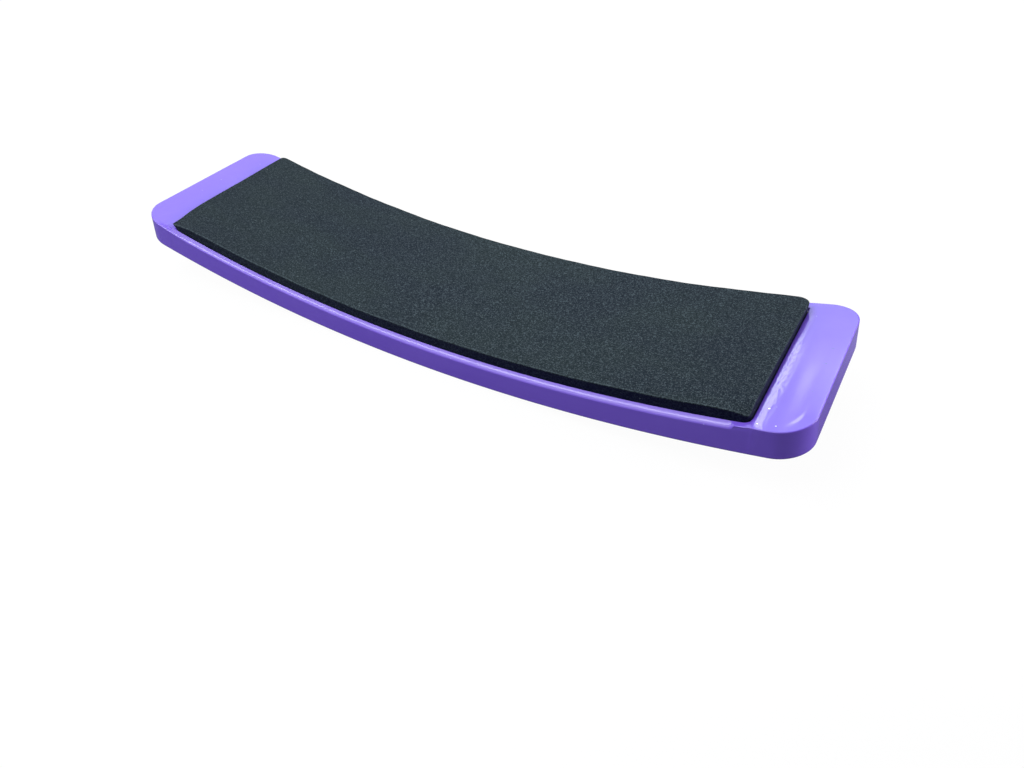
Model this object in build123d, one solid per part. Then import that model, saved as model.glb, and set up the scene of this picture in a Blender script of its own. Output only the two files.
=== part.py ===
"""Turning board: a curved rocker that a dancer or skater stands on with one foot to practise spins.

One moulded plastic body carries a glued foam pad. The body is a shallow arc along X: its sole
touches the floor along one line in the middle, so the board rocks along X and spins about Z.
Under the pad the body is cored out into a grid of open cells, which the pad hides.

Frame: millimetres, +Z up, X along the board, Y across it. The origin is the lowest point of the
sole, midway along and across the board.
"""

from build123d import *
import math
import os

# Driving dimensions
BOARD_LENGTH = 280.0      # over the top edges of the end walls
BOARD_WIDTH = 76.0        # over the top edges of the side walls
MIDDLE_THICKNESS = 10.0   # sole to deck, at the middle of the board
DECK_RADIUS = 560.0       # arc of the deck, the pad seat and the pad, along X
SOLE_RADIUS = 605.0       # arc of the sole, along X
CORNER_RADIUS = 11.0      # the four corners, seen from above
SIDE_DRAFT = 0.5          # each side wall is this much further in at the sole than at the deck
END_LEAN = 1.0            # each end wall is this much further out at the sole than at the deck
RIM_EDGE_RADIUS = 0.6     # rounding of the deck's outer edge
SOLE_EDGE_RADIUS = 0.8    # rounding of the sole's outer edge

# Pad, its adhesive sheet and the shallow seat that both lie in
PAD_LENGTH = 245.2        # across the pad's underside, in a straight line
PAD_WIDTH = 70.6
PAD_THICKNESS = 5.0
PAD_CORNER_RADIUS = 2.5
PAD_EDGE_RADIUS = 0.4
ADHESIVE_THICKNESS = 0.15
SEAT_GAP = 0.2            # between the pad's edge and the wall of its seat, all round
SEAT_DEPTH = 1.3          # deck to seat floor

# Cells moulded into the body under the pad
CELL_ROWS = 4             # across the board
CELL_COLUMNS = 15         # along the board
RIB_THICKNESS = 2.0
SOLE_SKIN = 3.0           # plastic left between the cells and the sole
LEDGE_WIDTH = 4.0         # flat seat floor left round the block of cells
CELL_CORNER_RADIUS = 1.5

# Worked out from the driving dimensions
DECK_AXIS_HEIGHT = MIDDLE_THICKNESS + DECK_RADIUS
SOLE_AXIS_HEIGHT = SOLE_RADIUS
SEAT_FLOOR_RADIUS = DECK_RADIUS + SEAT_DEPTH
PAD_UNDERSIDE_RADIUS = SEAT_FLOOR_RADIUS - ADHESIVE_THICKNESS
PAD_TOP_RADIUS = PAD_UNDERSIDE_RADIUS - PAD_THICKNESS
CLEAR = 5.0               # how far a cutting shape runs past the surface that it cuts
ON_SURFACE = 0.01         # a point this close to a surface counts as on it


def deck_axis():
    """The axis that the deck, the seat and the pad are curved about."""
    return Axis((0, 0, DECK_AXIS_HEIGHT), (0, 1, 0))


def arc_height(x, radius, axis_height):
    """Height at x of an arc of that radius whose centre is above the origin."""
    return axis_height - math.sqrt(radius**2 - x**2)


def half_angle(half_length, radius):
    """Degrees from the middle of an arc to the point that is half_length along X."""
    return math.degrees(math.asin(half_length / radius))


def swept_arc(section, angle):
    """A section in the YZ plane, turned about the deck's axis by angle to either side."""
    start = section.rotate(deck_axis(), -angle)
    return revolve(start, axis=deck_axis(), revolution_arc=2 * angle)


def arc_slab(width, angle, outer_radius, inner_radius, corner_radius):
    """A slab of rectangular section that follows the deck, with rounded corners in plan."""
    thickness = outer_radius - inner_radius
    middle_height = DECK_AXIS_HEIGHT - (outer_radius + inner_radius) / 2
    section = Plane.YZ * Pos(0, middle_height) * Rectangle(width, thickness)
    slab = swept_arc(section, angle)
    corners = [edge for edge in slab.edges() if is_corner_edge(edge, thickness)]
    return fillet(corners, corner_radius)


def is_corner_edge(edge, thickness):
    """True for the four edges that run through a slab from its outer to its inner arc."""
    return abs(edge.length - thickness) < ON_SURFACE and abs(edge.center().X) > CLEAR


def edges_on_arc(solid, radius, axis_height):
    """The edges of a solid that lie on an arc surface of that radius."""

    def on_arc(point):
        return abs(math.hypot(point.X, point.Z - axis_height) - radius) < ON_SURFACE

    return [edge for edge in solid.edges() if all(on_arc(edge @ t) for t in (0, 0.5, 1))]


def arc_cylinder(radius, axis_height):
    """A solid cylinder across the board, for trimming a body to an arc surface."""
    return Pos(0, 0, axis_height) * Rot(90, 0, 0) * Cylinder(radius, 2 * BOARD_WIDTH)


def body_blank():
    """The body's outer shape, before the seat and the cells are cut."""
    depth = MIDDLE_THICKNESS + CLEAR
    half_width = BOARD_WIDTH / 2
    half_base = half_width - SIDE_DRAFT * depth / MIDDLE_THICKNESS
    section = Plane.YZ * Polygon(
        (-half_width, MIDDLE_THICKNESS),
        (half_width, MIDDLE_THICKNESS),
        (half_base, MIDDLE_THICKNESS - depth),
        (-half_base, MIDDLE_THICKNESS - depth),
        align=None,
    )
    bar = swept_arc(section, half_angle(BOARD_LENGTH / 2 + CLEAR, DECK_RADIUS))

    # The end walls are flat and lean out towards the sole.
    top_x = BOARD_LENGTH / 2
    top_z = arc_height(top_x, DECK_RADIUS, DECK_AXIS_HEIGHT)
    base_x = top_x + END_LEAN
    base_z = arc_height(base_x, SOLE_RADIUS, SOLE_AXIS_HEIGHT)
    lean = END_LEAN / (top_z - base_z)
    high, low = top_z + CLEAR, -CLEAR
    high_x = top_x - lean * CLEAR
    low_x = base_x + lean * (base_z - low)
    ends = Plane.XZ * Polygon((-low_x, low), (low_x, low), (high_x, high), (-high_x, high), align=None)
    trimmed = bar & extrude(ends, BOARD_WIDTH, both=True) & arc_cylinder(SOLE_RADIUS, SOLE_AXIS_HEIGHT)

    corners = [
        edge
        for edge in trimmed.edges()
        if abs(edge.center().X) > top_x - CLEAR and edge.length < 2 * MIDDLE_THICKNESS
    ]
    rounded = fillet(corners, CORNER_RADIUS)
    rounded = fillet(edges_on_arc(rounded, DECK_RADIUS, DECK_AXIS_HEIGHT), RIM_EDGE_RADIUS)
    return fillet(edges_on_arc(rounded, SOLE_RADIUS, SOLE_AXIS_HEIGHT), SOLE_EDGE_RADIUS)


def seat_cut():
    """The shallow seat in the deck that the pad is glued into."""
    seat_angle = half_angle(PAD_LENGTH / 2 + SEAT_GAP, PAD_UNDERSIDE_RADIUS)
    return arc_slab(
        PAD_WIDTH + 2 * SEAT_GAP,
        seat_angle,
        SEAT_FLOOR_RADIUS,
        DECK_RADIUS - CLEAR,
        PAD_CORNER_RADIUS + SEAT_GAP,
    )


def cell_cuts():
    """The grid of cells that core out the body, open upwards, with a floor along the sole."""
    block_length = PAD_LENGTH - 2 * LEDGE_WIDTH
    block_width = PAD_WIDTH - 2 * LEDGE_WIDTH
    pitch_x = (block_length + RIB_THICKNESS) / CELL_COLUMNS
    pitch_y = (block_width + RIB_THICKNESS) / CELL_ROWS
    cell = RectangleRounded(pitch_x - RIB_THICKNESS, pitch_y - RIB_THICKNESS, CELL_CORNER_RADIUS)
    prisms = [
        extrude(place * cell, 2 * BOARD_WIDTH)
        for place in GridLocations(pitch_x, pitch_y, CELL_COLUMNS, CELL_ROWS)
    ]
    hollow = arc_cylinder(SOLE_RADIUS - SOLE_SKIN, SOLE_AXIS_HEIGHT)
    return [prism & hollow for prism in prisms]


def make_board_body():
    body = body_blank() - seat_cut()
    return body - cell_cuts()


def make_pad_adhesive():
    """Double-sided sheet, cut to the pad's outline."""
    angle = half_angle(PAD_LENGTH / 2, PAD_UNDERSIDE_RADIUS)
    return arc_slab(PAD_WIDTH, angle, SEAT_FLOOR_RADIUS, PAD_UNDERSIDE_RADIUS, PAD_CORNER_RADIUS)


def make_foam_pad():
    """Foam sheet that follows the deck and stands proud of the rim."""
    angle = half_angle(PAD_LENGTH / 2, PAD_UNDERSIDE_RADIUS)
    pad = arc_slab(PAD_WIDTH, angle, PAD_UNDERSIDE_RADIUS, PAD_TOP_RADIUS, PAD_CORNER_RADIUS)
    return fillet(edges_on_arc(pad, PAD_TOP_RADIUS, DECK_AXIS_HEIGHT), PAD_EDGE_RADIUS)


os.makedirs("parts", exist_ok=True)
export_step(make_board_body(), "parts/board_body.step")
export_step(make_pad_adhesive(), "parts/pad_adhesive.step")
export_step(make_foam_pad(), "parts/foam_pad.step")
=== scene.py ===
import math

import bpy
import numpy as np
from mathutils import Matrix, Vector


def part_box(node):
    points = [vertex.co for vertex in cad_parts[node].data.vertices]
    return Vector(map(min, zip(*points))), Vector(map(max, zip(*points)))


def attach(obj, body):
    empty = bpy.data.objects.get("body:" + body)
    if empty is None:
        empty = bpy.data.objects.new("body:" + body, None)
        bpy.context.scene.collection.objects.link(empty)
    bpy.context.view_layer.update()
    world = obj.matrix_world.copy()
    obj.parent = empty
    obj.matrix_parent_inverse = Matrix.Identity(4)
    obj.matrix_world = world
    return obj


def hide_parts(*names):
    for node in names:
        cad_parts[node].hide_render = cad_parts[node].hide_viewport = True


# A turning board: a lilac plastic moulding, curved like a shallow rocker, with a firm black foam
# pad stuck into a seat in its top.  +X is the right end, -Y the near long side and Z is up.
# Named lengths are in millimetres, angles in degrees; meshes are made in metres.

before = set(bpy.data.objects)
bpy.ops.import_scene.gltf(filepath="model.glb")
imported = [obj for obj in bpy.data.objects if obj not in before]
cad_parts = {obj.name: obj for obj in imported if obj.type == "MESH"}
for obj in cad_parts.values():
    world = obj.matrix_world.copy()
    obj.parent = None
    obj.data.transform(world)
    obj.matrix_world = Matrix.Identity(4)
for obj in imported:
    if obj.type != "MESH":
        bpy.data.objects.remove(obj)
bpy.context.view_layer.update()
MM = 0.001

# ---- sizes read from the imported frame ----
body_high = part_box("board_body")[1] / MM
pad_low, pad_high = (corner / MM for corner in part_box("foam_pad"))
SOLE_HALF_LENGTH = body_high.x
DECK_HALF_WIDTH = body_high.y
PAD_HALF_LENGTH = pad_high.x
PAD_HALF_WIDTH = pad_high.y

# ---- the moulding ----
END_LEAN = 1.0              # the end walls reach this much further out at the sole
SIDE_DRAFT = 0.5            # the long walls come in this much towards the sole
DECK_RADIUS = 560.0
SOLE_RADIUS = 605.0
CORNER_RADIUS = 11.0
SOLE_EDGE_RADIUS = 0.8
SEAT_EDGE_RADIUS = 0.32
SEAT_GAP = 0.2
SEAT_DEPTH = 1.3
SEAT_CORNER_RADIUS = 2.7
ADHESIVE_THICKNESS = 0.15
DECK_HALF_LENGTH = SOLE_HALF_LENGTH - END_LEAN
SOLE_HALF_WIDTH = DECK_HALF_WIDTH - SIDE_DRAFT
SEAT_HALF_LENGTH = PAD_HALF_LENGTH + SEAT_GAP
SEAT_HALF_WIDTH = PAD_HALF_WIDTH + SEAT_GAP
SEAT_FLOOR_RADIUS = DECK_RADIUS + SEAT_DEPTH
MIDDLE_THICKNESS = pad_low.z - ADHESIVE_THICKNESS + SEAT_DEPTH
DECK_AXIS = MIDDLE_THICKNESS + DECK_RADIUS
SOLE_AXIS = SOLE_RADIUS
BOARD_SHARP_ANGLE = 50.0    # edges sharper than this stay crisp

# ---- the hollow cells under the pad ----
CELL_COLUMNS = 15
CELL_ROWS = 4
RIB_THICKNESS = 2.0
LEDGE_WIDTH = 4.0
SOLE_SKIN = 3.0
CELL_CORNER_RADIUS = 1.5

# ---- the deck's outer edge: a bead along the near rim and small roundings elsewhere ----
BEAD_START_X = -137.0       # at the left the bead grows from nothing here
BEAD_START_LENGTH = 24.0    # over this length
BEAD_END_X = 118.3          # at the right it stops here, short of the corner
BEAD_END_LENGTH = 1.2       # over this length
BEAD_LEFT_ROUNDING = (0.8, 0.25)    # how far its rounding reaches in, and down
BEAD_RIGHT_ROUNDING = (1.7, 0.90)
BEAD_GROWTH = 0.7           # below 1, the rounding grows faster at the left than at the right
BEAD_CREASE = 0.06          # the rounding starts with this much extra slope, a soft crease
CROWN_SLOPE = 0.42          # between the pad and the bead the near rim falls at this slope
END_RIM_RADIUS = 0.4
FAR_RIM_RADIUS = 0.6
FAR_RIM_FADE = 10.0         # the far rim's rounding shrinks to the ends' over this length
GROOVE_DEPTH = 0.22         # the shallow groove in the wall that carries on from the bead's end
GROOVE_LENGTH = 8.0
GROOVE_LEAD = 0.02          # it starts this share of its length before the bead's end
GROOVE_DROP = 0.55          # its middle is this far below the deck
GROOVE_SPREAD = 0.3

# ---- the end decks' small rises and hollows, placed outwards from the seat's ends ----
RELIEF_START = -0.6         # the relief begins just inside the seat, so it is whole at its edge
RELIEF_RISE = 0.5
LIP_HEIGHT = 0.30           # the low lip beside the pad's ends
LIP_WIDTH = 2.9
LIP_FAR_SHARE = 0.35        # it falls to this share of its height
LIP_FADE = 22.0             # over this length, from the middle towards the far side
LIP_CORNER_FADE = 3.0
HOLLOW_DEPTH = 0.01         # the slight hollow outside the lip
HOLLOW_NEAR_DEPTH = 0.06    # and how much deeper it is on the near side
HOLLOW_START = 6.4
HOLLOW_WIDTH = 5.6
HOLLOW_FADE_Y = 12.0
HOLLOW_FADE = 26.0
RIPPLE_HEIGHT = 0.012       # the unevenness along the lip
RIPPLE_PLACE = 1.6
RIPPLE_SPREAD = 1.1
RIPPLE_RATE = 0.9           # radians per millimetre along Y
RIPPLE_SWAY = 1.3           # how far, in radians, it runs early or late
RIPPLE_SWAY_RATE = 0.31

# ---- the crescent dip, placed outwards from the centre of the near right corner ----
DIP_DEPTH = 0.12
DIP_START = 6.1
DIP_FALL = 1.1
DIP_RISE = 3.8
DIP_DIRECTION = -26.0       # of its deepest place, anticlockwise from +X
DIP_SPREAD = 24.0
DIP_SIDE_REACH = 3.0
DIP_SIDE_FADE = 5.0

# ---- the pad ----
PAD_THICKNESS = 5.0
PAD_BASE_RADIUS = SEAT_FLOOR_RADIUS - ADHESIVE_THICKNESS
PAD_TOP_RADIUS = PAD_BASE_RADIUS - PAD_THICKNESS
PAD_TOP_EDGE_RADIUS = 0.32
PAD_TOP_SHIFT = -0.47       # the top face sits this much towards the left of the base
PAD_TOP_STRETCH = 0.12      # and is this much longer at each end
PAD_TOP_TAPER = 0.4         # and its far side is this much longer still
PAD_BASE_CORNER_RADII = (2.6, 3.6, 2.2, 1.6)    # near right, far right, far left, near left
PAD_TOP_CORNER_RADII = (0.8, 4.6, 2.2, 0.8)
PAD_FLARE = (-0.75, -0.1)   # the top's near left corner is pulled this much along X and Y
PAD_FLARE_REACH = 3.5
PAD_SIDE_UPRIGHT = 0.25     # the cut sides stand upright up to this share of their height
PAD_SIDE_PINCH = 0.10       # and are drawn in this much at half height
PAD_HIGHLIGHT_SIDE = (0.4, -0.92)    # the direction of the top edges given a painted highlight; edges facing away get painted shade
PAD_HIGHLIGHT_START = 2          # the painted highlight and shade begin at this loop of the top edge's rounding
PAD_SHARP_ANGLE = 60.0
# Each wave in the top's outline: height, radians per millimetre along X, and phase.
PAD_WANDER = ((0.06, 0.21, 0.5), (0.04, 0.63, 0.0))
# Each corner that is pressed down: depth, its X and Y side, and the reach along X and Y.
PAD_DROOPS = ((1.7, 1, -1, 4.6, 4.0), (2.1, -1, -1, 6.0, 8.0), (0.7, 1, 1, 5.0, 5.0))
DROOP_POWER = 1.3
SLOW_WAVE_HEIGHT = 0.11
FAST_WAVE_HEIGHT = 0.03
# Each wave over the pad's top: radians per millimetre along X and Y, and phase.
SLOW_WAVES = ((0.045, 0.06, 0.8), (-0.02, 0.075, 0.0))
FAST_WAVES = ((0.17, -0.11, 2.0), (0.0, 0.19, 0.4))

# ---- mesh density, in steps round each outline ----
LONG_REACH = 118.0          # the long sides' own stations end here; the corners' begin
END_REACH = 26.0
LONG_STEPS = 152
END_STEPS = 20
STRAIGHT_STEPS = 7
TURN_STEPS = 14
CORNER_STEPS = 2 * STRAIGHT_STEPS + TURN_STEPS
GRID_LONG = LONG_STEPS + CORNER_STEPS
GRID_SHORT = END_STEPS + CORNER_STEPS
CELL_STEPS = GRID_LONG // CELL_COLUMNS
LONG_CROWDING = 0.2         # how far the long side's stations crowd towards its ends
STRAIGHT_CROWDING = 1.4     # above 1, a corner's first stations crowd towards the long side
ROUNDING_STEPS = 8
BEAD_STEPS = 14
DECK_STEPS = 60
DECK_CROWDING = 0.25        # how far the deck's loops crowd towards its two edges
WALL_SHARES = (0.02, 0.1, 0.3, 0.5, 0.7, 0.85, 0.93, 0.98)  # heights of the walls' loops
PAD_SIDE_SHARES = (0.0, 0.06, 0.2, 0.35, 0.5, 0.65, 0.8, 0.94)
PAD_INNER_INSETS = (0.2, 0.5)   # the top's loops inside its rounded edge

# ---- marks and painted glints: X, Y, half length, half width and, where it matters, turn ----
DECK_SCUFFS = ((135.6, 9.6, 1.1, 0.35, 15), (135.6, 0.4, 1.7, 0.5, 25), (135.4, -15.2, 0.7, 0.4, 50))
# Painted highlights: tiny pale spots in the plastic's colour, standing in for glints off small
# raised pips.
DECK_PAINTED_GLINTS = ((125.8, -27.0, 0.42, 0.42), (129.8, -34.9, 0.32, 0.32), (124.6, -35.3, 0.3, 0.3))
PAD_SCUFFS = ((24.0, 7.7, 2.2, 0.8, 70), (-38.0, 21.0, 2.0, 0.9, -30), (26.0, 9.5, 3.2, 1.6, 60))

# ---- the plastic's uneven places beside the seat ----
UNEVEN_START = 0.3          # outwards from the seat's ends
UNEVEN_RISE = 1.0           # these three are measured from there
UNEVEN_FULL_TO = 1.8
UNEVEN_END = 5.0
UNEVEN_NEAR_Y = 2.0         # full up to here, and gone at the next
UNEVEN_FAR_Y = 22.0

# ---- the surfaces' patterns: how far across or apart their blotches are, and their depth ----
LILAC_MOTTLE = (34, 22, 20)
FLOW_MARKS = (3.5, 26, 9)
FLOW_TURN = 20.0
SHINE_PATCHES = 9.0
PEEL = 3.0
PEEL_DEPTH = 0.0015
UNEVENNESS = (1.2, 1.9, 3)
UNEVEN_DEPTH = 0.13
LILAC_SPECKS = 6.5
DECK_SCUFF_GAPS = 0.5
# Each set of scratches: size, turn, and the noise from which a scratch starts.
SCRATCHES = (((0.5, 60, 40), 24, 0.66), ((0.5, 45, 40), -52, 0.68))
SCRATCH_EDGE = 0.1
FOAM_MOTTLE = (40, 24, 20)
FINE_GRAIN = 0.38
COARSE_GRAIN = 0.8
GRAIN_DEPTH = 0.11
PORES = 0.7
PORE_DEPTH = 0.04
FOAM_SPECKS = 3.2
FOAM_SPECK_PATCHES = 9.0
PAD_SCUFF_GAPS = 0.9
SCRIM = 2.4
SCRIM_TURN = 45.0
FILM_BUBBLES = 2.6
FILM_PATCHES = 4.0
FILM_RIPPLES = 1.2
FILM_DEPTH = 0.02

# ---- stretches along X where the foam's look changes from left to right ----
GRAIN_STRETCH = (-140.0, 60.0)  # its grain gets stronger
CUT_SHADE_STRETCH = (-130.0, 80.0)    # painted shade on its cut faces grows

# ---- camera ----
CAMERA_AZIMUTH = 33.041
CAMERA_ELEVATION = 33.535
CAMERA_ROLL = -2.122
CAMERA_DISTANCE = 350.589
CAMERA_TARGET = (0.0, 0.0, 10.0)
CAMERA_SENSOR_WIDTH = 36.0
CAMERA_LENS = 30.992
CAMERA_SHIFT = (0.04604, -0.08915)  # in sensor widths
CAMERA_CLIP = (0.01, 50.0)  # metres

# ---- lights, floor and card ----
LIGHT_DISTANCE = 1.6        # metres from the board to each softbox
# Each softbox: name, direction, width and height seen from the board, radiance and tint.
SOFTBOXES = (
    ("key_softbox", (-0.36, -0.38, 0.85), 66, 46, 2.45, (0.98, 0.99, 1.0)),
    ("back_softbox", (-0.47, 0.63, 0.63), 48, 38, 2.15, (0.76, 0.91, 1.0)),
    ("streak_softbox", (-0.165, 0.765, 0.62), 11, 14, 6.0, (0.90, 0.96, 1.0)),
    ("side_softbox", (0.85, 0.42, 0.32), 40, 30, 8.9, (1.0, 0.93, 0.99)),
    ("line_softbox", (-0.45, -0.27, 0.852), 50, 5, 9.0, (1.0, 1.0, 1.0)),
    ("edge_softbox", (0.50, 0.78, 0.38), 16, 16, 4.5, (1.0, 1.0, 1.0)),
    ("left_softbox", (-0.93, 0.17, 0.32), 24, 18, 3.5, (1.0, 1.0, 1.0)))
SKY_FRONT_LEVEL = 1.02
SKY_BACK_LEVEL = 0.0
FLOOR_HALF_SIZE = 3000.0
FLOOR_DROP = 0.05           # the floor lies this far under the sole
FLOOR_WHITENESS = 0.96      # share of the camera's view of the floor that ignores shadows
FLAG_CENTRE = (160.0, -150.0, 80.0)
FLAG_SIZE = (300.0, 220.0)


# ======================= curves and outlines =======================

def arc_height(x, axis, radius):
    """Height of a cylinder of that radius, lying along Y, whose axis is at height axis."""
    return axis - np.sqrt(radius ** 2 - x ** 2)


def smooth_step(value):
    """0 up to 0 and 1 from 1 on, with an even S between."""
    value = np.clip(value, 0.0, 1.0)
    return value * value * (3.0 - 2.0 * value)


def bell(value):
    """1 at 0, falling away evenly on both sides."""
    return np.exp(-value * value)


def quarter_turn(step, steps):
    """The angle, in radians, of a step of a rounding."""
    return math.radians(90.0 * step / steps)


def corner_run(half_length, half_width, radius):
    """Points and outward directions from the near side round the near right corner."""
    first = (np.arange(STRAIGHT_STEPS) / STRAIGHT_STEPS) ** STRAIGHT_CROWDING
    turn = np.radians(-90.0 + 90.0 * np.arange(TURN_STEPS + 1) / TURN_STEPS)
    last = np.arange(1, STRAIGHT_STEPS + 1) / STRAIGHT_STEPS
    centre_x, centre_y = half_length - radius, -(half_width - radius)
    xs = np.concatenate([
        LONG_REACH + (centre_x - LONG_REACH) * first,
        centre_x + radius * np.cos(turn),
        np.full(STRAIGHT_STEPS, half_length)])
    ys = np.concatenate([
        np.full(STRAIGHT_STEPS, -half_width),
        centre_y + radius * np.sin(turn),
        centre_y + (-END_REACH - centre_y) * last])
    facing = np.concatenate([
        np.full(STRAIGHT_STEPS, turn[0]), turn, np.full(STRAIGHT_STEPS, turn[-1])])
    return np.stack([xs, ys], 1), np.stack([np.cos(facing), np.sin(facing)], 1)


def outline(half_length, half_width, radii):
    """A rounded rectangle, anticlockwise from the near side, as points and outward directions."""
    if np.isscalar(radii):
        radii = (radii,) * 4
    along = 2.0 * np.arange(1, LONG_STEPS) / LONG_STEPS - 1.0
    along = LONG_REACH * along * (1.0 + LONG_CROWDING - LONG_CROWDING * along ** 2)
    across = END_REACH * (2.0 * np.arange(1, END_STEPS) / END_STEPS - 1.0)
    points, facings = [], []

    def straight(xs, ys, facing):
        run = np.stack(np.broadcast_arrays(xs, ys), 1)
        points.append(run)
        facings.append(np.tile(np.array(facing, float), (len(run), 1)))

    def corner(radius, mirror, backwards):
        run, facing = corner_run(half_length, half_width, radius)
        order = slice(None, None, -1) if backwards else slice(None)
        points.append((run * mirror)[order])
        facings.append((facing * mirror)[order])

    straight(along, -half_width, (0, -1))
    corner(radii[0], (1, 1), False)
    straight(half_length, across, (1, 0))
    corner(radii[1], (1, -1), True)
    straight(-along, half_width, (0, 1))
    corner(radii[2], (-1, -1), False)
    straight(-half_length, -across, (-1, 0))
    corner(radii[3], (-1, 1), True)
    return np.concatenate(points), np.concatenate(facings)


def near_left_corner():
    """Place in every loop of the middle of the near left corner, counted back from its start."""
    return LONG_STEPS - 1 + CORNER_STEPS // 2 - GRID_LONG


# ======================= mesh building =======================

class Shell:
    """Collects vertices and faces of one closed mesh."""

    def __init__(self):
        self.vertices = []
        self.faces = []

    def ring(self, points, heights):
        """Adds a loop of vertices and gives their numbers."""
        start = len(self.vertices)
        self.vertices += [(p[0], p[1], h) for p, h in zip(points, heights)]
        return list(range(start, len(self.vertices)))

    def bridge(self, lower, upper):
        """Joins two loops of equal length with quads."""
        count = len(lower)
        for i in range(count):
            k = (i + 1) % count
            self.faces.append((lower[i], lower[k], upper[k], upper[i]))

    def fill(self, loop, long_steps, short_steps, start, height, facing_up):
        """Fills a closed loop with a grid of quads; start is the loop place of its first corner."""
        numbers = grid_edge(loop, long_steps, short_steps, start)
        place = {key: np.array(self.vertices[number][:2]) for key, number in numbers.items()}
        for i in range(1, long_steps):
            u = i / long_steps
            for j in range(1, short_steps):
                v = j / short_steps
                p = ((1 - v) * place[i, 0] + v * place[i, short_steps]
                     + (1 - u) * place[0, j] + u * place[long_steps, j]
                     - (1 - u) * (1 - v) * place[0, 0] - u * (1 - v) * place[long_steps, 0]
                     - (1 - u) * v * place[0, short_steps]
                     - u * v * place[long_steps, short_steps])
                numbers[i, j] = len(self.vertices)
                self.vertices.append((p[0], p[1], float(height(p[0], p[1]))))
        for i in range(long_steps):
            for j in range(short_steps):
                quad = (numbers[i, j], numbers[i + 1, j], numbers[i + 1, j + 1], numbers[i, j + 1])
                self.faces.append(quad if facing_up else quad[::-1])

    def object(self, name, sharp_angle):
        """Makes the Blender object, smooth except at edges sharper than the angle in degrees."""
        mesh = bpy.data.meshes.new(name)
        mesh.from_pydata([(x * MM, y * MM, z * MM) for x, y, z in self.vertices], [], self.faces)
        mesh.validate()
        mesh.polygons.foreach_set("use_smooth", [True] * len(mesh.polygons))
        mesh.set_sharp_from_angle(angle=math.radians(sharp_angle))
        made = bpy.data.objects.new(name, mesh)
        bpy.context.scene.collection.objects.link(made)
        return made


def grid_edge(loop, long_steps, short_steps, start):
    """Vertex numbers round a grid's edge, by column and row, from the loop that goes round it."""
    count = len(loop)
    numbers = {}
    for i in range(long_steps + 1):
        numbers[i, 0] = loop[(start + i) % count]
        numbers[i, short_steps] = loop[(start + 2 * long_steps + short_steps - i) % count]
    for j in range(short_steps + 1):
        numbers[long_steps, j] = loop[(start + long_steps + j) % count]
        numbers[0, j] = loop[(start + count - j) % count]
    return numbers


# ======================= the deck's outer edge =======================

def bead_share(x):
    """1 along the near rim's bead and 0 beyond its two ends."""
    before_end = smooth_step((BEAD_END_X + BEAD_END_LENGTH / 2 - x) / BEAD_END_LENGTH)
    return before_end * smooth_step((x - BEAD_START_X) / BEAD_START_LENGTH)


def top_edge_rounding(points):
    """How far in and how far down the deck's outer edge is rounded, at each outline point."""
    x, y = points[:, 0], points[:, 1]
    growth = np.clip((x + LONG_REACH) / (2 * LONG_REACH), 0, 1) ** BEAD_GROWTH
    far_share = smooth_step((LONG_REACH + FAR_RIM_FADE - np.abs(x)) / FAR_RIM_FADE)
    far = END_RIM_RADIUS + (FAR_RIM_RADIUS - END_RIM_RADIUS) * far_share
    reaches = []
    for left, right in zip(BEAD_LEFT_ROUNDING, BEAD_RIGHT_ROUNDING):
        bead = left + (right - left) * growth
        near = END_RIM_RADIUS + (bead - END_RIM_RADIUS) * bead_share(x)
        reaches.append(np.where(y < 0, near, far))
    return reaches


def groove(points, depth):
    """How far the near wall is let in, just below the deck, right of where the bead stops."""
    x, y = points[:, 0], points[:, 1]
    along = (x - BEAD_END_X) / GROOVE_LENGTH
    taper = np.where((along > -GROOVE_LEAD) & (along < 1) & (y < 0), 1 - along, 0)
    return GROOVE_DEPTH * taper * bell((depth - GROOVE_DROP) / GROOVE_SPREAD)


def near_crown(x, y):
    """How far the near rim has fallen below the deck, between the pad and the outer edge."""
    outward = np.maximum(-y - SEAT_HALF_WIDTH - SEAT_EDGE_RADIUS, 0)
    return CROWN_SLOPE * bead_share(x) * outward


# ======================= the end decks =======================

def lip(beyond, x, y):
    """Height of the lip, which fades out at the pad's corners except the near right one."""
    nearness = smooth_step((LIP_FADE - y) / LIP_FADE)
    height = LIP_HEIGHT * (LIP_FAR_SHARE + (1 - LIP_FAR_SHARE) * nearness)
    height = height * (1 - smooth_step((beyond - SEAT_EDGE_RADIUS) / LIP_WIDTH))
    near_right = (x > 0) & (y < 0)
    corner_fade = smooth_step((SEAT_HALF_WIDTH - np.abs(y)) / LIP_CORNER_FADE)
    return height * np.where(near_right, 1, corner_fade)


def hollow(beyond, y):
    """Depth of the hollow, deepest on the near side."""
    nearness = smooth_step((HOLLOW_FADE_Y - y) / HOLLOW_FADE)
    depth = HOLLOW_DEPTH + HOLLOW_NEAR_DEPTH * nearness
    return depth * smooth_step((beyond - HOLLOW_START) / HOLLOW_WIDTH)


def ripple(beyond, y):
    """Height of an uneven wave that runs along the lip."""
    wave = np.sin(y * RIPPLE_RATE + RIPPLE_SWAY * np.sin(y * RIPPLE_SWAY_RATE))
    return RIPPLE_HEIGHT * wave * bell((beyond - RIPPLE_PLACE) / RIPPLE_SPREAD)


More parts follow.
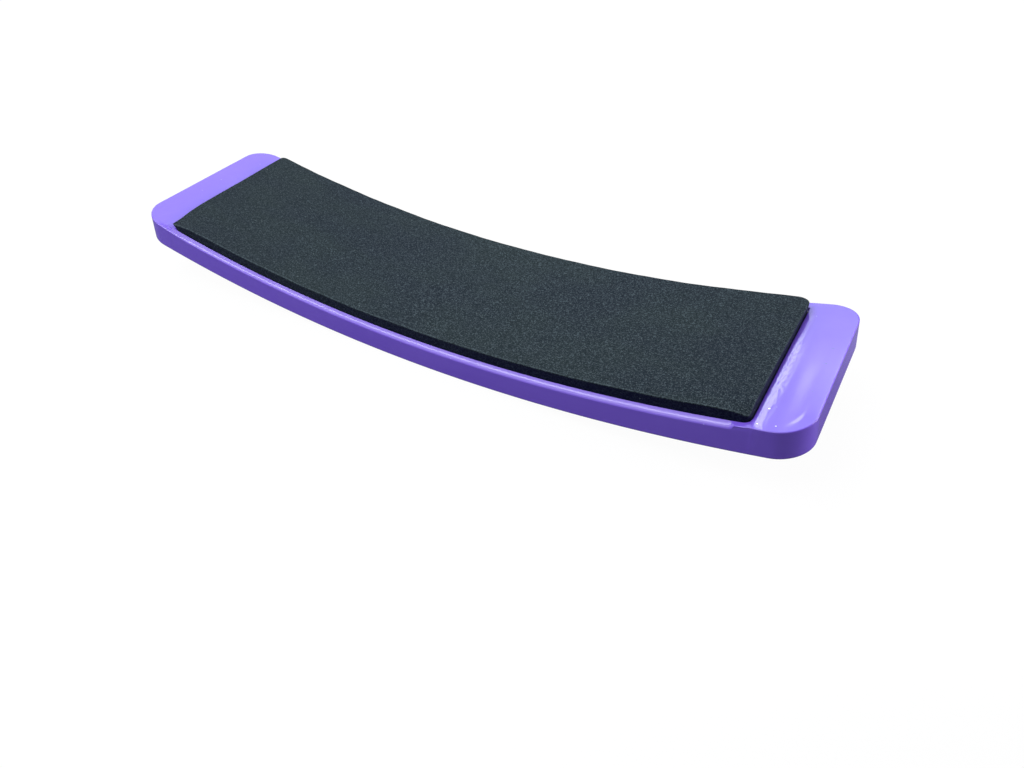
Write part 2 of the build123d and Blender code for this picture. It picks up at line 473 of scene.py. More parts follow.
def crescent_dip(x, y):
    """Depth of a dip that bends round the corner's centre: a quick fall, then a slow rise."""
    centre_x, centre_y = DECK_HALF_LENGTH - CORNER_RADIUS, -(DECK_HALF_WIDTH - CORNER_RADIUS)
    out_x, out_y = np.maximum(x - centre_x, 0), np.minimum(y - centre_y, 0)
    radial = np.hypot(out_x, out_y)
    angle = np.degrees(np.arctan2(out_y, out_x))
    rise = smooth_step((radial - DIP_START - DIP_FALL) / DIP_RISE)
    profile = smooth_step((radial - DIP_START) / DIP_FALL) * (1 - rise)
    side = smooth_step((centre_y + DIP_SIDE_REACH - y) / DIP_SIDE_FADE)
    depth = DIP_DEPTH * profile * bell((angle - DIP_DIRECTION) / DIP_SPREAD) * side
    return depth * (x > centre_x)


def deck_relief(x, y):
    """The deck's small rises and hollows above its plain arc."""
    beyond = np.abs(x) - SEAT_HALF_LENGTH
    on_end = smooth_step((beyond - RELIEF_START) / RELIEF_RISE)
    end_relief = lip(beyond, x, y) - hollow(beyond, y) + ripple(beyond, y)
    return on_end * end_relief - crescent_dip(x, y) - near_crown(x, y)


# ======================= the moulded board =======================

def deck_height(x, y):
    return arc_height(x, DECK_AXIS, DECK_RADIUS) + deck_relief(x, y)


def sole_height(x, y):
    return arc_height(x, SOLE_AXIS, SOLE_RADIUS) + 0 * y


def seat_floor(x, y):
    return arc_height(x, DECK_AXIS, SEAT_FLOOR_RADIUS) + 0 * y


def cell_floor(x, y):
    return arc_height(x, SOLE_AXIS, SOLE_RADIUS - SOLE_SKIN) + 0 * y


def make_board():
    """The moulding as one closed skin: sole, walls, deck, seat and open cells."""
    shell = Shell()
    rings, deck_edge = wall_rings(shell)
    rings += deck_rings(shell, deck_edge)
    for lower, upper in zip(rings, rings[1:]):
        shell.bridge(lower, upper)
    shell.fill(rings[0], GRID_LONG, GRID_SHORT, near_left_corner(), sole_height, False)
    make_cells(shell, rings[-1])
    return shell.object("moulded_board", BOARD_SHARP_ANGLE)


def wall_rings(shell):
    """Loops up the outer walls to the deck, and the last loop's points."""
    top, facing = outline(DECK_HALF_LENGTH, DECK_HALF_WIDTH, CORNER_RADIUS)
    bottom, _ = outline(SOLE_HALF_LENGTH, SOLE_HALF_WIDTH, CORNER_RADIUS)
    thickness = deck_height(*top.T) - sole_height(*top.T)
    reach_in, reach_down = top_edge_rounding(top)

    def wall_points(depth, inset):
        share = (depth / thickness)[:, None]
        return top + (bottom - top) * share - facing * inset

    rings = []
    for step in range(ROUNDING_STEPS, -1, -1):
        turn = quarter_turn(step, ROUNDING_STEPS)
        rise = SOLE_EDGE_RADIUS * (1 - math.sin(turn))
        points = wall_points(thickness - rise, SOLE_EDGE_RADIUS * (1 - math.cos(turn)))
        rings.append(shell.ring(points, sole_height(*points.T) + rise))
    for share in WALL_SHARES:
        depth = reach_down + (thickness - reach_down - SOLE_EDGE_RADIUS) * (1 - share)
        points = wall_points(depth, groove(top, depth)[:, None])
        rings.append(shell.ring(points, deck_height(*points.T) - depth))
    for step in range(BEAD_STEPS + 1):
        turn = quarter_turn(step, BEAD_STEPS)
        crease = BEAD_CREASE * reach_in * (math.cos(turn) + math.sin(turn) - 1)
        depth = reach_down * (1 - math.sin(turn)) + crease
        inset = reach_in * (1 - math.cos(turn)) + groove(top, depth)
        points = wall_points(depth, inset[:, None])
        rings.append(shell.ring(points, deck_height(*points.T) - depth))
    return rings, points


def deck_rings(shell, deck_edge):
    """Loops in over the deck, down into the seat and on to the edge of the block of cells."""
    seat, facing = outline(SEAT_HALF_LENGTH, SEAT_HALF_WIDTH, SEAT_CORNER_RADIUS)
    seat_edge = seat + facing * SEAT_EDGE_RADIUS
    rings = []
    for step in range(1, DECK_STEPS):
        even = step / DECK_STEPS
        crowded = 0.5 - 0.5 * math.cos(math.pi * even)
        share = (1 - DECK_CROWDING) * even + DECK_CROWDING * crowded
        points = deck_edge + (seat_edge - deck_edge) * share
        rings.append(shell.ring(points, deck_height(*points.T)))
    for step in range(ROUNDING_STEPS + 1):
        turn = quarter_turn(step, ROUNDING_STEPS)
        points = seat + facing * SEAT_EDGE_RADIUS * (1 - math.sin(turn))
        drop = SEAT_EDGE_RADIUS * (1 - math.cos(turn))
        rings.append(shell.ring(points, deck_height(*points.T) - drop))
    for points in (seat, block_outline()):
        rings.append(shell.ring(points, seat_floor(*points.T)))
    return rings


def block_size():
    """Half length and half width of the ribbed block, to the middles of its outer ribs."""
    return (SEAT_HALF_LENGTH - LEDGE_WIDTH + RIB_THICKNESS / 2,
            SEAT_HALF_WIDTH - LEDGE_WIDTH + RIB_THICKNESS / 2)


def block_outline():
    """The block's edge as a loop that matches the other loops step for step."""
    half_length, half_width = block_size()
    xs = np.linspace(-half_length, half_length, GRID_LONG + 1)
    ys = np.linspace(-half_width, half_width, GRID_SHORT + 1)
    edge = [(x, -half_width) for x in xs[:-1]] + [(half_length, y) for y in ys[:-1]]
    edge += [(x, half_width) for x in xs[:0:-1]] + [(-half_length, y) for y in ys[:0:-1]]
    return np.roll(np.array(edge), near_left_corner(), axis=0)


def make_cells(shell, edge_ring):
    """The open cells and the ribs between them, inside the block's edge."""
    half_length, half_width = block_size()
    pitch_x, pitch_y = 2 * half_length / CELL_COLUMNS, 2 * half_width / CELL_ROWS
    known = grid_edge(edge_ring, GRID_LONG, GRID_SHORT, near_left_corner())

    def rib_vertex(i, j):
        if (i, j) not in known:
            x = -half_length + 2 * half_length * i / GRID_LONG
            y = -half_width + 2 * half_width * j / GRID_SHORT
            known[i, j] = len(shell.vertices)
            shell.vertices.append((x, y, float(seat_floor(x, y))))
        return known[i, j]

    steps = CELL_STEPS
    around = [(k, 0) for k in range(steps)] + [(steps, k) for k in range(steps)]
    around += [(steps - k, steps) for k in range(steps)] + [(0, steps - k) for k in range(steps)]
    hole = cell_outline(around, pitch_x - RIB_THICKNESS, pitch_y - RIB_THICKNESS)
    for column in range(CELL_COLUMNS):
        for row in range(CELL_ROWS):
            tile = [rib_vertex(column * steps + i, row * steps + j) for i, j in around]
            middle = np.array([-half_length + pitch_x * (column + 0.5),
                               -half_width + pitch_y * (row + 0.5)])
            points = hole + middle
            upper = shell.ring(points, seat_floor(*points.T))
            lower = shell.ring(points, cell_floor(*points.T))
            shell.bridge(tile, upper)
            shell.bridge(upper, lower)
            shell.fill(lower, steps, steps, 0, cell_floor, True)


def cell_outline(around, length, width):
    """A rounded cell opening whose points match the points round its tile."""
    radius = CELL_CORNER_RADIUS
    flat_x, flat_y = length / 2 - radius, width / 2 - radius
    points = []
    for i, j in around:
        x = length * (i / CELL_STEPS - 0.5)
        y = width * (j / CELL_STEPS - 0.5)
        over_x = max(abs(x) - flat_x, 0) / radius
        over_y = max(abs(y) - flat_y, 0) / radius
        if over_x > 0 and over_y > 0:
            turn = math.radians(45 * over_y if over_x >= over_y else 90 - 45 * over_x)
            x = math.copysign(flat_x + radius * math.cos(turn), x)
            y = math.copysign(flat_y + radius * math.sin(turn), y)
        points.append((x, y))
    return np.array(points)


# ======================= the foam pad =======================

def fading(distance, reach):
    """1 at no distance, falling away over the reach."""
    return np.exp(-(np.abs(distance) / reach) ** DROOP_POWER)


def pad_droop(x, y):
    """How far the pad's top is pressed down: most at its two near corners."""
    total = 0.0
    for depth, side_x, side_y, reach_x, reach_y in PAD_DROOPS:
        along = fading(x - side_x * PAD_HALF_LENGTH, reach_x)
        across = fading(y - side_y * PAD_HALF_WIDTH, reach_y)
        total = total + depth * along * across
    return total


def wave_angle(x, y, wave):
    """How far through its swing a wave is at a place, in radians."""
    rate_x, rate_y, phase = wave
    return x * rate_x + y * rate_y + phase


def pad_wave(x, y):
    """The sheet's slight unevenness: long waves with shorter and lower ones on top."""
    slow = np.sin(wave_angle(x, y, SLOW_WAVES[0])) * np.cos(wave_angle(x, y, SLOW_WAVES[1]))
    fast = np.sin(wave_angle(x, y, FAST_WAVES[0])) * np.sin(wave_angle(x, y, FAST_WAVES[1]))
    return SLOW_WAVE_HEIGHT * slow + FAST_WAVE_HEIGHT * fast


def pad_top_height(x, y):
    return arc_height(x, DECK_AXIS, PAD_TOP_RADIUS) - pad_droop(x, y) + pad_wave(x, y)


def pad_base_height(x, y):
    return arc_height(x, DECK_AXIS, PAD_BASE_RADIUS) + 0 * y


def pad_top_outline(base, facing):
    """The top face's outline: leaning to the left, flared at one corner, gently wandering."""
    top, _ = outline(PAD_HALF_LENGTH, PAD_HALF_WIDTH, PAD_TOP_CORNER_RADII)
    along, across = top[:, 0] / PAD_HALF_LENGTH, top[:, 1] / PAD_HALF_WIDTH
    lean = PAD_TOP_SHIFT + PAD_TOP_STRETCH * along + PAD_TOP_TAPER * along * across
    top = top + np.stack([lean, 0 * lean], 1)
    flare = bell((base[:, 0] + PAD_HALF_LENGTH) / PAD_FLARE_REACH)
    flare = flare * bell((base[:, 1] + PAD_HALF_WIDTH) / PAD_FLARE_REACH)
    top = top + flare[:, None] * np.array(PAD_FLARE)
    wander = sum(height * np.sin(base[:, 0] * rate + phase) for height, rate, phase in PAD_WANDER)
    return top + facing * wander[:, None]


def make_pad():
    """The foam sheet as one closed skin: base, cut sides, softened top edge and top."""
    shell = Shell()
    base, facing = outline(PAD_HALF_LENGTH, PAD_HALF_WIDTH, PAD_BASE_CORNER_RADII)
    top = pad_top_outline(base, facing)
    side_rings, edge_rings, inner_rings = [], [], []
    for share in PAD_SIDE_SHARES:
        outward = smooth_step((share - PAD_SIDE_UPRIGHT) / (1 - PAD_SIDE_UPRIGHT))
        pinch = PAD_SIDE_PINCH * math.sin(math.pi * share)
        points = base + (top - base) * outward - facing * pinch
        low = pad_base_height(*points.T)
        high = pad_top_height(*points.T) - PAD_TOP_EDGE_RADIUS
        side_rings.append(shell.ring(points, low + (high - low) * share))
    for step in range(ROUNDING_STEPS + 1):
        turn = quarter_turn(step, ROUNDING_STEPS)
        points = top - facing * PAD_TOP_EDGE_RADIUS * (1 - math.cos(turn))
        drop = PAD_TOP_EDGE_RADIUS * (1 - math.sin(turn))
        edge_rings.append(shell.ring(points, pad_top_height(*points.T) - drop))
    for inset in PAD_INNER_INSETS:
        points = top - facing * (PAD_TOP_EDGE_RADIUS + inset)
        inner_rings.append(shell.ring(points, pad_top_height(*points.T)))
    rings = side_rings + edge_rings + inner_rings
    for lower, upper in zip(rings, rings[1:]):
        shell.bridge(lower, upper)
    start = near_left_corner()
    shell.fill(rings[0], GRID_LONG, GRID_SHORT, start, pad_base_height, False)
    shell.fill(rings[-1], GRID_LONG, GRID_SHORT, start, pad_top_height, True)
    made = shell.object("foam_sheet", PAD_SHARP_ANGLE)
    mark_edges(made, side_rings, edge_rings[PAD_HIGHLIGHT_START:], facing @ np.array(PAD_HIGHLIGHT_SIDE))
    return made


def mark_edges(made, side_rings, edge_rings, towards_lit):
    """Vertex values for the foam's material: where the top edge gets a painted highlight, and where
    cut faces and the top edge facing away get painted shade.
    """
    edge_highlight = made.data.attributes.new("painted_edge_highlight", "FLOAT", "POINT")
    cut_and_shade = made.data.attributes.new("cut_face_and_shade", "FLOAT", "POINT")
    # The cut sides: their own darker cut face, with painted shade added in the finish.
    for ring in side_rings:
        for number in ring:
            cut_and_shade.data[number].value = 1.0
    # Top edges facing the near right get a painted highlight; those facing away get painted shade.
    for ring in edge_rings:
        for number, share in zip(ring, towards_lit):
            edge_highlight.data[number].value = max(share, 0)
            cut_and_shade.data[number].value = max(-share, 0)


# ======================= node trees =======================

class Nodes:
    """A node tree being built from nothing, or added to."""

    def __init__(self, tree):
        self.tree = tree

    def node(self, kind, inputs=None, **settings):
        """Adds a node; each input is a value or another node's output."""
        made = self.tree.nodes.new(kind)
        for key, value in settings.items():
            setattr(made, key, value)
        for key, value in (inputs or {}).items():
            self.set(made, key, value)
        return made

    def set(self, made, key, value):
        if isinstance(value, bpy.types.NodeSocket):
            self.tree.links.new(value, made.inputs[key])
        else:
            made.inputs[key].default_value = value

    def mix(self, share, first, second):
        """A shader between those of two nodes."""
        return self.node("ShaderNodeMixShader", {
            0: share, 1: first.outputs[0], 2: second.outputs[0]})


class Finish(Nodes):
    """A procedural material being built: short names for the nodes used below."""

    def __init__(self, name):
        self.material = bpy.data.materials.new(name)
        self.material.use_nodes = True
        super().__init__(self.material.node_tree)
        self.shader = self.tree.nodes["Principled BSDF"]
        self.place = self.node("ShaderNodeTexCoord").outputs["Object"]

    def give(self, **values):
        """Sets the shader's own inputs, named with _ for spaces."""
        for key, value in values.items():
            self.set(self.shader, key.replace("_", " "), value)

    def stretched(self, scales, turn=0.0):
        """Coordinates in millimetres divided by the scales, after a turn about Z in degrees."""
        turned = self.node("ShaderNodeVectorRotate", {
            "Vector": self.place, "Angle": math.radians(turn)}, rotation_type="Z_AXIS")
        made = self.node("ShaderNodeMapping", {"Vector": turned.outputs[0]})
        made.inputs["Scale"].default_value = [1 / (s * MM) for s in scales]
        return made.outputs["Vector"]

    def noise(self, size, detail=2.0, roughness=0.5, turn=0.0):
        """Noise from 0 to 1 whose blotches are about size millimetres across, per axis."""
        sizes = (size,) * 3 if np.isscalar(size) else size
        made = self.node("ShaderNodeTexNoise", {
            "Vector": self.stretched(sizes, turn), "Scale": 1.0,
            "Detail": detail, "Roughness": roughness})
        return made.outputs["Fac"]

    def cells(self, size):
        """Distance from the nearest of many scattered points, about size millimetres apart."""
        made = self.node("ShaderNodeTexVoronoi", {
            "Vector": self.stretched((size,) * 3), "Scale": 1.0})
        return made.outputs["Distance"]

    def span(self, value, low, high, to_low=0.0, to_high=1.0):
        """Maps low..high to to_low..to_high, held at the ends."""
        made = self.node("ShaderNodeMapRange", {
            "Value": value, "From Min": low, "From Max": high,
            "To Min": to_low, "To Max": to_high}, interpolation_type="SMOOTHSTEP")
        return made.outputs["Result"]

    def math(self, operation, first, second=0.0):
        return self.node("ShaderNodeMath", {0: first, 1: second}, operation=operation).outputs[0]

    def total(self, *values):
        result = values[0]
        for value in values[1:]:
            result = self.math("ADD", result, value)
        return result

    def times(self, first, second):
        return self.math("MULTIPLY", first, second)

    def spot(self, x, y, half_length, half_width, turn=0.0):
        """1 at a point of the object, fading to 0 over an oval of that size, in millimetres."""
        shift = self.node("ShaderNodeVectorMath", {
            0: self.place, 1: (x * MM, y * MM, 0)}, operation="SUBTRACT")
        scaled = self.node("ShaderNodeMapping", {"Vector": shift.outputs[0]})
        scaled.inputs["Rotation"].default_value = (0, 0, math.radians(-turn))
        scaled.inputs["Scale"].default_value = (1 / (half_length * MM), 1 / (half_width * MM), 0)
        length = self.node("ShaderNodeVectorMath", {0: scaled.outputs[0]}, operation="LENGTH")
        return self.span(length.outputs["Value"], 1.0, 0.2)

    def spots(self, marks):
        """Several spots together, each given as the values that a spot takes."""
        return self.total(0.0, *(self.spot(*mark) for mark in marks))

    def blend(self, share, first, second):
        """Colour between two colours."""
        made = self.node("ShaderNodeMix", data_type="RGBA")
        self.set(made, 0, share)
        for key, value in ((6, first), (7, second)):
            self.set(made, key, value if isinstance(value, bpy.types.NodeSocket) else (*value, 1))
        return made.outputs[2]

    def bump(self, height, depth, after=None):
        """A bump of that depth in millimetres on top of an earlier one."""
        inputs = {"Height": height, "Distance": depth * MM, "Strength": 1.0}
        if after is not None:
            inputs["Normal"] = after
        return self.node("ShaderNodeBump", inputs).outputs["Normal"]

    def axis(self, name):
        """The place along an axis, in metres."""
        return self.node("ShaderNodeSeparateXYZ", {0: self.place}).outputs[name]

    def along(self, name, low, high, to_low=0.0, to_high=1.0):
        """Maps a stretch of an axis, given in millimetres, to to_low..to_high."""
        return self.span(self.axis(name), low * MM, high * MM, to_low, to_high)

    def attribute(self, name):
        return self.node("ShaderNodeAttribute", attribute_name=name).outputs["Fac"]

    def upper_side(self):
        """1 on faces that look up, 0 on the walls and the underside."""
        facing = self.node("ShaderNodeNewGeometry").outputs["Normal"]
        height = self.node("ShaderNodeSeparateXYZ", {0: facing}).outputs["Z"]
        return self.span(height, 0.5, 0.7)


# ======================= the plastic =======================

LILAC = (0.156, 0.086, 0.566)
LILAC_DEEP = (0.147, 0.079, 0.552)
LILAC_PALE = (0.175, 0.104, 0.585)
LILAC_SPECK = (0.35, 0.30, 0.72)
LILAC_SCUFF = (0.10, 0.085, 0.26)
LILAC_PAINTED_GLINT = (0.86, 0.84, 1.0)
SPECK_STRENGTH = 0.5
DECK_SCUFF_STRENGTH = 0.85
SCRATCH_ROUGHNESS = 0.012


def plastic_finish():
    """Glossy moulded ABS: slight mottling, flow marks, orange peel, hairline scratches and a few
    painted glints.
    """
    made = Finish("lilac_gloss_plastic")
    mottle = made.noise(LILAC_MOTTLE, detail=3)
    colour = made.blend(made.span(mottle, 0.35, 0.65), LILAC_DEEP, LILAC)
    flow = made.noise(FLOW_MARKS, detail=3, turn=FLOW_TURN)
    colour = made.blend(made.span(flow, 0.55, 0.8, to_high=0.25), colour, LILAC_PALE)
    upper = made.upper_side()
    colour = made.blend(made.times(deck_scuffs(made), upper), colour, LILAC_SCUFF)
    specks = made.span(made.cells(LILAC_SPECKS), 0.045, 0.02)
    colour = made.blend(made.times(specks, SPECK_STRENGTH), colour, LILAC_SPECK)
    # Painted highlights: the pale glint spots on the deck.
    colour = made.blend(made.times(made.spots(DECK_PAINTED_GLINTS), upper), colour, LILAC_PAINTED_GLINT)
    rough = made.span(made.noise(SHINE_PATCHES, detail=3), 0.3, 0.7, to_low=0.12, to_high=0.16)
    rough = made.total(rough, made.times(scratches(made), SCRATCH_ROUGHNESS))
    peel = made.bump(made.noise(PEEL, detail=1), PEEL_DEPTH)
    uneven = made.times(made.noise(UNEVENNESS, detail=2), beside_seat(made))
    normal = made.bump(uneven, UNEVEN_DEPTH, peel)
    made.give(Base_Color=colour, Roughness=rough, Normal=normal, IOR=1.5, Specular_IOR_Level=0.5)
    return made.material


def scratches(made):
    """1 on fine lines that cross in two directions."""
    result = 0.0
    for size, turn, start in SCRATCHES:
        lines = made.span(made.noise(size, detail=2, turn=turn), start, start + SCRATCH_EDGE)
        result = made.math("MAXIMUM", result, lines)
    return result


def beside_seat(made):
    """1 beside the seat's ends on the near half, fading out on the far half, and 0 elsewhere."""
    reach = made.math("ABSOLUTE", made.axis("X"))
    start = SEAT_HALF_LENGTH + UNEVEN_START
    rise = made.span(reach, start * MM, (start + UNEVEN_RISE) * MM)
    fall = made.span(reach, (start + UNEVEN_END) * MM, (start + UNEVEN_FULL_TO) * MM)
    nearer = made.along("Y", UNEVEN_FAR_Y, UNEVEN_NEAR_Y)
    return made.times(made.times(rise, fall), nearer)


def deck_scuffs(made):
    """Small broken scuffs near the outer edge of the right deck."""
    broken = made.span(made.noise(DECK_SCUFF_GAPS, detail=2), 0.4, 0.6)
    return made.times(made.times(made.spots(DECK_SCUFFS), broken), DECK_SCUFF_STRENGTH)


# ======================= the foam =======================

FOAM_BLUISH = (0.0056, 0.0082, 0.0138)
FOAM_GREENISH = (0.0084, 0.0130, 0.0148)
FOAM_GRAIN = (0.045, 0.060, 0.070)
# Painted highlight for the pad's top edge, and painted shade for its cut faces.
FOAM_PAINTED_HIGHLIGHT = (0.060, 0.080, 0.092)
FOAM_CUT_AND_SHADE = (0.0018, 0.0019, 0.0150)
FOAM_SPECK = (0.12, 0.15, 0.155)
FOAM_SCUFF = (0.075, 0.105, 0.11)
FOAM_SHEEN = (0.62, 0.88, 1.0, 1.0)
PAD_SCUFF_STRENGTH = 0.35
FINE_GRAIN_SHARE = 0.75     # the rest of the grain is coarse


def foam_finish():
    """Closed-cell EVA foam: skin full of tiny open cells, dusty greenish grey on black, with a
    painted highlight and painted shade at its edges.
    """
    made = Finish("black_eva_foam")
    mottle = made.span(made.noise(FOAM_MOTTLE, detail=3), 0.3, 0.7)
    colour = made.blend(mottle, FOAM_BLUISH, FOAM_GREENISH)
    fine = made.noise(FINE_GRAIN, detail=2, roughness=0.7)
    coarse = made.noise(COARSE_GRAIN, detail=1, roughness=0.6)
    grain = made.total(made.times(fine, FINE_GRAIN_SHARE), made.times(coarse, 1 - FINE_GRAIN_SHARE))
    strength = made.along("X", *GRAIN_STRETCH, to_low=0.45, to_high=1.0)
    colour = made.blend(made.times(made.span(grain, 0.515, 0.61), strength), colour, FOAM_GRAIN)
    # Painted highlight: the top edge facing the near right is painted paler, broken up by noise.
    highlight_breakup = made.span(coarse, 0.3, 0.6, to_low=0.1, to_high=0.5)
    colour = made.blend(made.times(made.attribute("painted_edge_highlight"), highlight_breakup), colour, FOAM_PAINTED_HIGHLIGHT)
    # Painted shade: cut faces and the top edge facing away are painted darker and bluer, growing
    # from left to right; on the cut sides this adds to the cut face's own darker look.
    darkness = made.along("X", *CUT_SHADE_STRETCH, to_low=0.05, to_high=0.9)
    colour = made.blend(made.times(made.attribute("cut_face_and_shade"), darkness), colour, FOAM_CUT_AND_SHADE)
    specks = made.span(made.cells(FOAM_SPECKS), 0.11, 0.05)
    patches = made.span(made.noise(FOAM_SPECK_PATCHES, detail=1), 0.45, 0.6)
    specks = made.times(specks, patches)
    colour = made.blend(made.times(specks, SPECK_STRENGTH), colour, FOAM_SPECK)
    colour = made.blend(pad_scuffs(made), colour, FOAM_SCUFF)
    rough = made.span(fine, 0.3, 0.7, to_low=0.60, to_high=0.78)
    normal = made.bump(fine, GRAIN_DEPTH)
    normal = made.bump(made.span(made.cells(PORES), 0.0, 0.45), PORE_DEPTH, normal)
    sheen = made.span(grain, 0.38, 0.68, to_low=0.06, to_high=0.34)
    made.give(Base_Color=colour, Roughness=rough, Normal=normal)
    made.give(Specular_IOR_Level=sheen, Specular_Tint=FOAM_SHEEN)
    return made.material


def pad_scuffs(made):
    """Pale rubbed places on the pad."""
    broken = made.span(made.noise(PAD_SCUFF_GAPS, detail=3), 0.42, 0.62)
    return made.times(made.times(made.spots(PAD_SCUFFS), broken), PAD_SCUFF_STRENGTH)


# ======================= the adhesive =======================

FILM_DULL = (0.42, 0.38, 0.28)
FILM_MILKY = (0.52, 0.48, 0.37)
FILM_BUBBLE = (0.68, 0.66, 0.58)
BUBBLE_STRENGTH = 0.4


def adhesive_finish():
    """The double-sided sheet under the pad: milky film with a faint scrim and tiny bubbles."""
    made = Finish("adhesive_film")
    weave = made.node("ShaderNodeTexWave", {
        "Vector": made.stretched((SCRIM,) * 3, SCRIM_TURN), "Scale": 1.0, "Distortion": 1.5})
    colour = made.blend(made.span(weave.outputs["Fac"], 0.3, 0.7), FILM_DULL, FILM_MILKY)
    bubbles = made.span(made.cells(FILM_BUBBLES), 0.2, 0.12)
    colour = made.blend(made.times(bubbles, BUBBLE_STRENGTH), colour, FILM_BUBBLE)
    rough = made.span(made.noise(FILM_PATCHES, detail=2), 0.3, 0.7, to_low=0.38, to_high=0.55)
    normal = made.bump(made.total(made.noise(FILM_RIPPLES, detail=2), bubbles), FILM_DEPTH)
    made.give(Base_Color=colour, Roughness=rough, Normal=normal)
    return made.material


# ======================= studio =======================

WHITE = (1, 1, 1, 1)
SKY_COLOUR = (0.97, 0.98, 1.0, 1)
FLOOR_PAINT = (0.86, 0.86, 0.86, 1)
FLOOR_DIM = (0.16, 0.16, 0.18, 1)
FLAG_BLACK = (0.01, 0.01, 0.01, 1)


def make_camera():
    azimuth, elevation = math.radians(CAMERA_AZIMUTH), math.radians(CAMERA_ELEVATION)
    roll = math.radians(CAMERA_ROLL)
    back = Vector((math.sin(azimuth) * math.cos(elevation),
                   -math.cos(azimuth) * math.cos(elevation), math.sin(elevation)))
    level = Vector((math.cos(azimuth), math.sin(azimuth), 0))
    upright = back.cross(level)
    right = level * math.cos(roll) + upright * math.sin(roll)
    up = upright * math.cos(roll) - level * math.sin(roll)
    data = bpy.data.cameras.new("photo_camera")
    data.sensor_width = CAMERA_SENSOR_WIDTH
    data.lens = CAMERA_LENS
    data.shift_x, data.shift_y = CAMERA_SHIFT
    data.clip_start, data.clip_end = CAMERA_CLIP
    camera = bpy.data.objects.new("photo_camera", data)
    place = (Vector(CAMERA_TARGET) + back * CAMERA_DISTANCE) * MM
    camera.matrix_world = Matrix.Translation(place) @ Matrix((right, up, back)).transposed().to_4x4()
    bpy.context.scene.collection.objects.link(camera)
    bpy.context.scene.camera = camera


def softbox(name, direction, wide, high, radiance, tint):
    """A rectangular light facing the board; wide and high are degrees seen from the board."""
    data = bpy.data.lights.new(name, "AREA")
    data.shape = "RECTANGLE"
    data.size = 2 * LIGHT_DISTANCE * math.tan(math.radians(wide / 2))
    data.size_y = 2 * LIGHT_DISTANCE * math.tan(math.radians(high / 2))
    data.energy = radiance * math.pi * data.size * data.size_y
    data.color = tint
    light = bpy.data.objects.new(name, data)
    towards = Vector(direction).normalized()
    light.location = towards * LIGHT_DISTANCE
    light.rotation_mode = "QUATERNION"
    light.rotation_quaternion = towards.to_track_quat("Z", "Y")
    light.visible_camera = False
    bpy.context.scene.collection.objects.link(light)


def make_sky():
    """White to the camera; for everything else, light from in front that fades out behind."""
    world = bpy.data.worlds.new("studio")
    bpy.context.scene.world = world
    world.use_nodes = True
    world.node_tree.nodes.clear()
    sky = Nodes(world.node_tree)
    direction = sky.node("ShaderNodeTexCoord").outputs["Generated"]
    backward = sky.node("ShaderNodeSeparateXYZ", {0: direction}).outputs["Y"]
    level = sky.node("ShaderNodeMapRange", {
        "Value": backward, "From Min": -1.0, "From Max": 1.0,
        "To Min": SKY_FRONT_LEVEL, "To Max": SKY_BACK_LEVEL})
    dim = sky.node("ShaderNodeBackground", {"Color": SKY_COLOUR, "Strength": level.outputs[0]})
    white = sky.node("ShaderNodeBackground", {"Color": WHITE})
    by_camera = sky.node("ShaderNodeLightPath").outputs["Is Camera Ray"]
    shown = sky.mix(by_camera, dim, white)
    sky.node("ShaderNodeOutputWorld", {"Surface": shown.outputs[0]})


def card(name, corners, material):
    """One rectangle for the stage, not part of the object; its corners are in metres."""
    mesh = bpy.data.meshes.new(name)
    mesh.from_pydata(corners, [], [(0, 1, 2, 3)])
    mesh.materials.append(material)
    made = bpy.data.objects.new(name, mesh)
    bpy.context.scene.collection.objects.link(made)
    return made


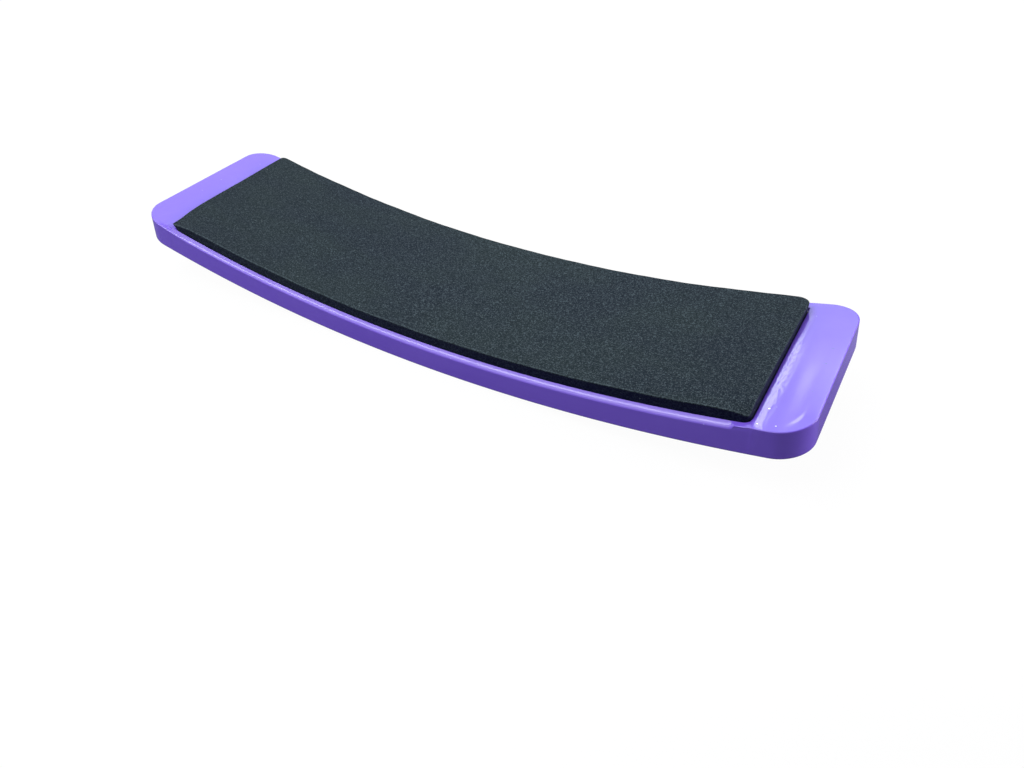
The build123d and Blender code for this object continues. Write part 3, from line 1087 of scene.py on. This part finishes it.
def floor_finish():
    """Nearly white to the camera, dim to everything else, and clear from below."""
    material = bpy.data.materials.new("pale_floor")
    material.use_nodes = True
    material.node_tree.nodes.clear()
    floor = Nodes(material.node_tree)
    paint = floor.node("ShaderNodeBsdfDiffuse", {"Color": FLOOR_PAINT})
    dim = floor.node("ShaderNodeBsdfDiffuse", {"Color": FLOOR_DIM})
    glow = floor.node("ShaderNodeEmission", {"Color": WHITE, "Strength": 1.0})
    clear = floor.node("ShaderNodeBsdfTransparent")
    by_camera = floor.node("ShaderNodeLightPath").outputs["Is Camera Ray"]
    below = floor.node("ShaderNodeNewGeometry").outputs["Backfacing"]
    from_below = floor.node("ShaderNodeMath", {0: below, 1: by_camera}, operation="MULTIPLY")
    seen = floor.mix(FLOOR_WHITENESS, paint, glow)
    from_above = floor.mix(by_camera, dim, seen)
    surface = floor.mix(from_below.outputs[0], from_above, clear)
    floor.node("ShaderNodeOutputMaterial", {"Surface": surface.outputs[0]})
    return material


def make_floor():
    half, height = FLOOR_HALF_SIZE * MM, -FLOOR_DROP * MM
    corners = [(-half, -half, height), (half, -half, height),
               (half, half, height), (-half, half, height)]
    card("floor", corners, floor_finish())


def make_flag():
    """A black card at the near right, which keeps light off that corner; the camera ignores it."""
    centre = Vector(FLAG_CENTRE)
    across = Vector((-centre.y, centre.x, 0)).normalized() * FLAG_SIZE[0] / 2
    upward = Vector((0, 0, FLAG_SIZE[1] / 2))
    corners = [centre - across - upward, centre + across - upward,
               centre + across + upward, centre - across + upward]
    material = bpy.data.materials.new("black_card")
    material.use_nodes = True
    material.node_tree.nodes["Principled BSDF"].inputs["Base Color"].default_value = FLAG_BLACK
    flag = card("black_flag", [tuple(corner * MM) for corner in corners], material)
    flag.visible_camera = False


# ======================= assembly =======================

def place_piece(piece, finish, node):
    """Gives a new piece its finish, fixes it to the board and lets it stand for a CAD node."""
    piece.data.materials.append(finish)
    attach(piece, "root")
    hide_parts(node)


place_piece(make_board(), plastic_finish(), "board_body")
place_piece(make_pad(), foam_finish(), "foam_pad")

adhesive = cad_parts["pad_adhesive"]
adhesive.data.materials.clear()
adhesive.data.materials.append(adhesive_finish())

make_floor()
make_flag()
make_sky()
for values in SOFTBOXES:
    softbox(*values)
make_camera()
bpy.context.scene.view_settings.view_transform = "Standard"
